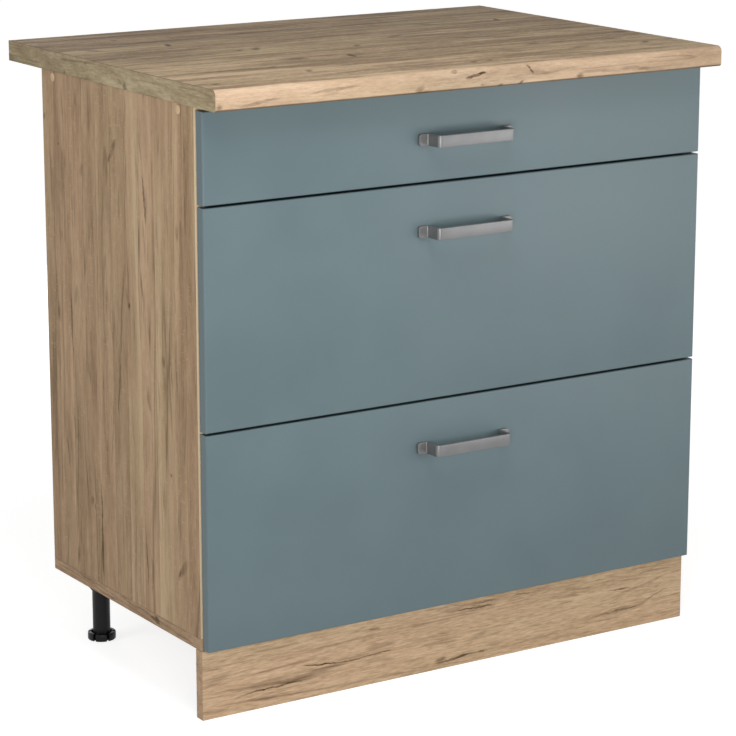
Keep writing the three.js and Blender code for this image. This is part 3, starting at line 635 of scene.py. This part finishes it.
def smoothing_group():
    """Geometry nodes that join a CAD node's split facets and shade its gentle folds smooth."""
    group = bpy.data.node_groups.new("joined_facets", "GeometryNodeTree")
    for direction in ("INPUT", "OUTPUT"):
        group.interface.new_socket("Geometry", in_out=direction, socket_type="NodeSocketGeometry")
    add = group.nodes.new
    start, end = add("NodeGroupInput"), add("NodeGroupOutput")
    weld, normals = add("GeometryNodeMergeByDistance"), add("GeometryNodeSetMeshNormal")
    angle, sharp = add("GeometryNodeInputMeshEdgeAngle"), add("FunctionNodeCompare")
    weld.inputs["Distance"].default_value = WELD_DISTANCE
    normals.mode = "SHARPNESS"
    normals.inputs["Remove Custom"].default_value = True
    normals.inputs["Face Sharpness"].default_value = False
    sharp.operation = "GREATER_THAN"
    sharp.inputs[1].default_value = FOLD_ANGLE
    for a, b in (
        (start.outputs[0], weld.inputs["Geometry"]),
        (weld.outputs[0], normals.inputs["Mesh"]),
        (angle.outputs["Unsigned Angle"], sharp.inputs[0]),
        (sharp.outputs[0], normals.inputs["Edge Sharpness"]),
        (normals.outputs[0], end.inputs[0]),
    ):
        group.links.new(a, b)
    return group


SMOOTHING = smoothing_group()


def finished(name, material, edge=BOARD_EDGE):
    """Gives a CAD node its material and takes the sharpness off its edges."""
    node = nodes[name]
    for slot in node.material_slots:
        slot.material = material
    node.modifiers.new("joined", "NODES").node_group = SMOOTHING
    bevel = node.modifiers.new("edges", "BEVEL")
    bevel.limit_method = "ANGLE"
    bevel.angle_limit = FOLD_ANGLE
    bevel.width = edge
    bevel.segments = EDGE_SEGMENTS
    bevel.harden_normals = True


# ---------------------------------------------------------------- pieces

def piece(name, shape, material, body):
    """A new named mesh piece that rides on a body."""
    data = bpy.data.meshes.new(name)
    shape.to_mesh(data)
    shape.free()
    data.set_sharp_from_angle(angle=FOLD_ANGLE)
    data.materials.append(material)
    made = bpy.data.objects.new(name, data)
    bpy.context.scene.collection.objects.link(made)
    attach(made, body)
    return made


HANDLE_THICKNESS = 4 * MM
HANDLE_BEND = 3.6 * MM  # to the middle of the strap
HANDLE_EDGE = 0.7 * MM
HANDLE_TAB = 14 * MM
TAB_CORNER = 4 * MM
BEND_STEPS = 10
CORNER_STEPS = 6
EDGE_STEPS = 3


def left_of(heading):
    return Vector((-heading.y, heading.x))


def handle_line(low, high):
    """Stations along the middle of the strap, seen from above.

    Each is (place, normal to the left, distance from the tab's end as far as its corner reaches)."""
    half, tab_y = HANDLE_THICKNESS / 2, high.y - HANDLE_THICKNESS / 2
    grip_y = low.y + half
    leg = high.x - HANDLE_TAB - half
    corners = (low.x, tab_y), (-leg, tab_y), (-leg, grip_y), (leg, grip_y), (leg, tab_y), (high.x, tab_y)
    points = [Vector(c) for c in corners]
    headings = [(b - a).normalized() for a, b in zip(points, points[1:])]
    first, last = headings[0], headings[-1]
    quarter = [k * math.pi / 2 / CORNER_STEPS for k in range(CORNER_STEPS + 1)]
    steps_back = [TAB_CORNER * (1 - math.cos(angle)) for angle in quarter]
    stations = [(points[0] + first * back, left_of(first), back) for back in steps_back]
    for corner, before, after in zip(points[1:-1], headings, headings[1:]):
        side = 1 if before.cross(after) > 0 else -1
        centre = corner - before * HANDLE_BEND + left_of(before) * (side * HANDLE_BEND)
        for k in range(BEND_STEPS + 1):
            normal = left_of(before)
            normal.rotate(Matrix.Rotation(side * k * math.pi / 2 / BEND_STEPS, 2))
            stations.append((centre - normal * (side * HANDLE_BEND), normal, TAB_CORNER))
    stations += [(points[-1] - last * back, left_of(last), back) for back in reversed(steps_back)]
    return stations


def strap_section(half_height):
    """A rounded rectangle as (along the normal, up), for a strap of that half height."""
    half, r = HANDLE_THICKNESS / 2, HANDLE_EDGE
    section = []
    for quarter, (sx, sz) in enumerate(((1, 1), (-1, 1), (-1, -1), (1, -1))):
        for k in range(EDGE_STEPS + 1):
            angle = (quarter + k / EDGE_STEPS) * math.pi / 2
            out = sx * (half - r) + r * math.cos(angle)
            section.append((out, sz * (half_height - r) + r * math.sin(angle)))
    return section


def strap_handle(drawer, material):
    """The bent strap with smooth folds, softened edges and round-cornered tabs."""
    low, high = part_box(f"{drawer}_handle")
    middle, half_height = (low.z + high.z) / 2, (high.z - low.z) / 2
    shape = bmesh.new()
    rings = []
    for point, normal, back in handle_line(low, high):
        inset = TAB_CORNER - back
        drop = TAB_CORNER - math.sqrt(TAB_CORNER**2 - inset**2)
        ring = []
        for out, up in strap_section(half_height - drop):
            place = point + normal * out
            ring.append(shape.verts.new((place.x, place.y, middle + up)))
        rings.append(ring)
    for a, b in zip(rings, rings[1:]):
        for i in range(len(a)):
            j = (i + 1) % len(a)
            shape.faces.new((a[i], a[j], b[j], b[i])).smooth = True
    shape.faces.new(reversed(rings[0]))
    shape.faces.new(rings[-1])
    bmesh.ops.recalc_face_normals(shape, faces=shape.faces)
    made = piece(f"{drawer}_strap_handle", shape, material, f"{drawer}_drawer")
    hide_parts(f"{drawer}_handle")


# Rings of a fastener's head from its rim inwards: (radius, height, depth of the cross), in shares
# of the head's radius.
PAN_HEAD = (
    (1.0, 0.0, 0.0), (1.0, 0.2, 0.0), (0.88, 0.38, 0.0),
    (0.62, 0.48, 0.0), (0.56, 0.48, 0.3), (0.2, 0.48, 0.34),
)
FLAT_HEAD = (
    (1.0, 0.0, 0.0), (1.0, 0.06, 0.0), (0.95, 0.1, 0.0),
    (0.6, 0.1, 0.0), (0.54, 0.1, 0.07), (0.2, 0.1, 0.08),
)
CROSS_ARMS = 4
HEAD_STEPS = 6 * CROSS_ARMS
SCREW = 3.4 * MM  # radii of the heads
HANDLE_SCREW = 4.2 * MM
CAM_LOCK = 7.5 * MM
SHEET = 1.2 * MM  # of a rail
SLOT_INSET = 36 * MM
SLOTS = 3
FIXING_PITCH = 48 * MM  # down a drawer's side
TOP_FIXING = 16 * MM  # below the side's upper edge
CAM_LOCK_INSET = 34 * MM  # from the front end of a drawer's side
BACK_SCREW_INSET = 6 * MM  # from its rear end
PLATE_THICKNESS = 4 * MM
PLATE_SCREW_CIRCLE = 25 * MM
PLATE_SCREW_DEGREES = (0, 60, 180, 240)
CLIP_PLATE = 3 * MM
CLIP_SCREW_SPAN = 17 * MM


def add_head(shape, profile, radius, place, outward):
    """A round head with a cross in it, facing outward."""
    facing = Vector(outward).to_track_quat("Z", "Y").to_matrix().to_4x4()
    matrix = Matrix.Translation(place) @ facing @ Matrix.Scale(radius, 4)
    rings = []
    for r, height, depth in profile:
        ring = []
        for k in range(HEAD_STEPS):
            angle = 2 * math.pi * k / HEAD_STEPS
            sunk = depth if k % (HEAD_STEPS // CROSS_ARMS) == 0 else 0.0
            point = Vector((r * math.cos(angle), r * math.sin(angle), height - sunk))
            ring.append(shape.verts.new(matrix @ point))
        rings.append(ring)
    _, height, depth = profile[-1]
    tip = shape.verts.new(matrix @ Vector((0, 0, height - depth)))
    for k in range(HEAD_STEPS):
        j = (k + 1) % HEAD_STEPS
        for a, b in zip(rings, rings[1:]):
            shape.faces.new((a[k], a[j], b[j], b[k])).smooth = True
        shape.faces.new((rings[-1][k], rings[-1][j], tip)).smooth = True
    shape.faces.new(reversed(rings[0]))


def slot_places(low, high):
    """Where a rail's screw slots are along its length."""
    pitch = (high.y - low.y - 2 * SLOT_INSET) / (SLOTS - 1)
    return [low.y + SLOT_INSET + k * pitch for k in range(SLOTS)]


def drawer_fasteners(drawer, material):
    """Screws of a drawer's rails, handle and back, and the cam locks that hold its front."""
    shape = bmesh.new()
    _, front_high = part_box(f"{drawer}_drawer_front")
    handle_low, handle_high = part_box(f"{drawer}_handle")
    for side, sign in SIDES:
        low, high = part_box(f"{drawer}_{side}_drawer_rail")
        rail_top, rail_middle = high.z, (low.z + high.z) / 2
        web = sign * (min(abs(low.x), abs(high.x)) + SHEET)
        for y in slot_places(low, high):
            add_head(shape, PAN_HEAD, SCREW, (web, y, rail_middle), (sign, 0, 0))
        x = sign * (handle_high.x - HANDLE_TAB / 2)
        place = (x, front_high.y, (handle_low.z + handle_high.z) / 2)
        add_head(shape, PAN_HEAD, HANDLE_SCREW, place, (0, 1, 0))
        low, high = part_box(f"{drawer}_drawer_{side}_side")
        inner, outer = sorted((low.x, high.x), key=abs)
        z = high.z - TOP_FIXING
        while z > rail_top + CAM_LOCK:
            add_head(shape, FLAT_HEAD, CAM_LOCK, (inner, low.y + CAM_LOCK_INSET, z), (-sign, 0, 0))
            add_head(shape, FLAT_HEAD, SCREW, (outer, high.y - BACK_SCREW_INSET, z), (sign, 0, 0))
            z -= FIXING_PITCH
    piece(f"{drawer}_drawer_fasteners", shape, material, f"{drawer}_drawer")


def cabinet_fasteners(material):
    """Screws of the cabinet rails, the leg plates and the plinth clips."""
    shape = bmesh.new()
    for side, sign in SIDES:
        for drawer in DRAWERS:
            low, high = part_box(f"{drawer}_{side}_cabinet_rail")
            web = sign * (max(abs(low.x), abs(high.x)) - SHEET)
            for y in slot_places(low, high):
                add_head(shape, FLAT_HEAD, SCREW, (web, y, (low.z + high.z) / 2), (-sign, 0, 0))
        for end in ENDS:
            low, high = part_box(f"{end}_{side}_leg")
            centre = (low + high) / 2
            for degrees in PLATE_SCREW_DEGREES:
                angle = math.radians(degrees)
                x = centre.x + PLATE_SCREW_CIRCLE * math.cos(angle)
                y = centre.y + PLATE_SCREW_CIRCLE * math.sin(angle)
                add_head(shape, PAN_HEAD, SCREW, (x, y, high.z - PLATE_THICKNESS), (0, 0, -1))
        low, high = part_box(f"{side}_plinth_clip")
        for shift in (-CLIP_SCREW_SPAN, CLIP_SCREW_SPAN):
            place = ((low.x + high.x) / 2 + shift, low.y + CLIP_PLATE, (low.z + high.z) / 2)
            add_head(shape, PAN_HEAD, SCREW, place, (0, 1, 0))
    piece("cabinet_fasteners", shape, material, "cabinet")


# ---------------------------------------------------------------- floor and light

FLOOR_HALF = 9.0
FLOOR_DROP = 0.2 * MM
FLOOR_MATT = (0.62, 0.62, 0.62, 1)
GLOW_SHARE = 0.2
GLOW_NEAR, GLOW_FAR = (0.7, 3.9), (1.7, 4.45)  # metres from the middle, strength


def make_floor():
    """A pale floor, lit by the lamps and, as the camera and reflections see it, by a share of glow.

    The glow grows as the lamps' light falls off, so that the open floor shows white all over and
    the cabinet's soft shadow stays on it."""
    shape = bmesh.new()
    bmesh.ops.create_grid(shape, x_segments=1, y_segments=1, size=FLOOR_HALF)
    data = bpy.data.meshes.new("floor")
    shape.to_mesh(data)
    shape.free()
    floor = bpy.data.objects.new("floor", data)
    floor.location.z = -FLOOR_DROP
    bpy.context.scene.collection.objects.link(floor)
    shader = Shader("floor_white")
    path = shader.node("ShaderNodeLightPath")
    seen = shader.math("MAXIMUM", path.outputs["Is Camera Ray"], path.outputs["Is Glossy Ray"])
    (near, low_glow), (far, high_glow) = GLOW_NEAR, GLOW_FAR
    strength = shader.remap(shader.vector("LENGTH", shader.place), near, far, low_glow, high_glow)
    matt = shader.node("ShaderNodeBsdfDiffuse", {"Color": FLOOR_MATT})
    glow = shader.node("ShaderNodeEmission", {"Strength": strength})
    shares = {0: shader.math("MULTIPLY", seen, GLOW_SHARE), 1: matt.outputs[0], 2: glow.outputs[0]}
    mixed = shader.node("ShaderNodeMixShader", shares).outputs[0]
    shader.tree.links.new(mixed, shader.tree.nodes["Material Output"].inputs["Surface"])
    shader.tree.nodes.remove(shader.surface)
    data.materials.append(shader.material)


AMBIENT = 0.25


def make_world():
    """White to the camera, in reflections and through glass, and a weaker light on the object."""
    world = bpy.data.worlds.new("studio")
    bpy.context.scene.world = world
    world.use_nodes = True
    tree = world.node_tree
    tree.nodes.clear()
    add, link = tree.nodes.new, tree.links.new
    output, path, mix = add("ShaderNodeOutputWorld"), add("ShaderNodeLightPath"), add("ShaderNodeMixShader")
    camera_or_glossy, seen = add("ShaderNodeMath"), add("ShaderNodeMath")
    even, white = add("ShaderNodeBackground"), add("ShaderNodeBackground")
    even.inputs["Strength"].default_value = AMBIENT
    for background in (even, white):
        background.inputs["Color"].default_value = (1, 1, 1, 1)
    camera_or_glossy.operation = seen.operation = "MAXIMUM"
    link(path.outputs["Is Camera Ray"], camera_or_glossy.inputs[0])
    link(path.outputs["Is Glossy Ray"], camera_or_glossy.inputs[1])
    link(camera_or_glossy.outputs[0], seen.inputs[0])
    link(path.outputs["Is Transmission Ray"], seen.inputs[1])
    link(seen.outputs[0], mix.inputs[0])
    link(even.outputs[0], mix.inputs[1])
    link(white.outputs[0], mix.inputs[2])
    link(mix.outputs[0], output.inputs["Surface"])


# Lamps as (name, place, what they aim at, width in metres, watts).
LAMPS = (
    ("left_key", (-0.98, -1.7, 0.6), (-0.2, -0.25, 1.3), 0.6, 16),
    ("right_fill", (1.15, -1.5, 0.6), (0.25, -0.25, 1.1), 0.8, 7.1),
    ("over", (-0.35, -0.75, 1.7), (0.05, -0.2, 0.8), 0.7, 7.5),
    ("left_side", (-2.4, 0.15, 1.2), (-0.4, 0.05, 0.45), 1.2, 13.2),
    ("right_side", (2.5, -0.1, 0.6), (0.4, 0, 0.45), 1.2, 11),
    ("behind", (0.3, 2.6, 0.5), (0, 0.2, 0.45), 1.2, 12),
)


def softbox(name, place, target, size, power):
    """A square area lamp that the camera doesn't see."""
    data = bpy.data.lights.new(name, "AREA")
    data.shape = "SQUARE"
    data.size = size
    data.energy = power
    lamp = bpy.data.objects.new(name, data)
    lamp.location = place
    lamp.rotation_euler = (Vector(target) - Vector(place)).to_track_quat("-Z", "Y").to_euler()
    lamp.visible_camera = False
    bpy.context.scene.collection.objects.link(lamp)


# ---------------------------------------------------------------- the scene

make_camera()
bpy.context.scene.view_settings.view_transform = "Standard"
make_world()
make_floor()
for lamp in LAMPS:
    softbox(*lamp)

NICKEL = metal("brushed_nickel", srgb(116, 116, 116), X, 0.4, metallic=0.5)
ZINC = metal("zinc_plate", srgb(166, 170, 174), Y, 0.32)
BLACK = moulded("black_plastic", srgb(13, 13, 14), 0.42, specular=0.2)
WHITE_BOARD = faced_board("white_melamine", WHITE)
HARDBOARD = faced_board("white_hardboard", srgb(222, 219, 212), 0.58)
FOIL = foil()
BACK_BOARD = faced_board("back_hardboard", srgb(199, 184, 160), 0.65)
CAP = moulded("beige_cap", srgb(194, 166, 130), 0.5, specular=0.3)

finished("worktop", worktop_oak(), WORKTOP_EDGE)
finished("bottom_panel", bottom_oak())
for rail in ("front_top_rail", "rear_top_rail"):
    finished(rail, rail_oak(rail))
finished("plinth_board", plinth_oak())
finished("back_panel", BACK_BOARD)
for side, _ in SIDES:
    finished(f"{side}_side_panel", side_oak(side))
    finished(f"{side}_plinth_clip", BLACK, PLASTIC_EDGE)
    for end in ENDS:
        finished(f"{end}_{side}_leg", BLACK, PLASTIC_EDGE)
        finished(f"{end}_{side}_foot", BLACK, PLASTIC_EDGE)
        finished(f"{side}_{end}_screw_cap", CAP, CAP_EDGE)
for drawer in DRAWERS:
    finished(f"{drawer}_drawer_front", FOIL, FRONT_EDGE)
    strap_handle(drawer, NICKEL)
    drawer_fasteners(drawer, ZINC)
    for board in ("left_side", "right_side", "back"):
        finished(f"{drawer}_drawer_{board}", WHITE_BOARD)
    finished(f"{drawer}_drawer_bottom", HARDBOARD, HARDBOARD_EDGE)
    for side, _ in SIDES:
        for member in ("cabinet_rail", "middle_rail", "drawer_rail"):
            finished(f"{drawer}_{side}_{member}", ZINC, RAIL_EDGE)
cabinet_fasteners(ZINC)
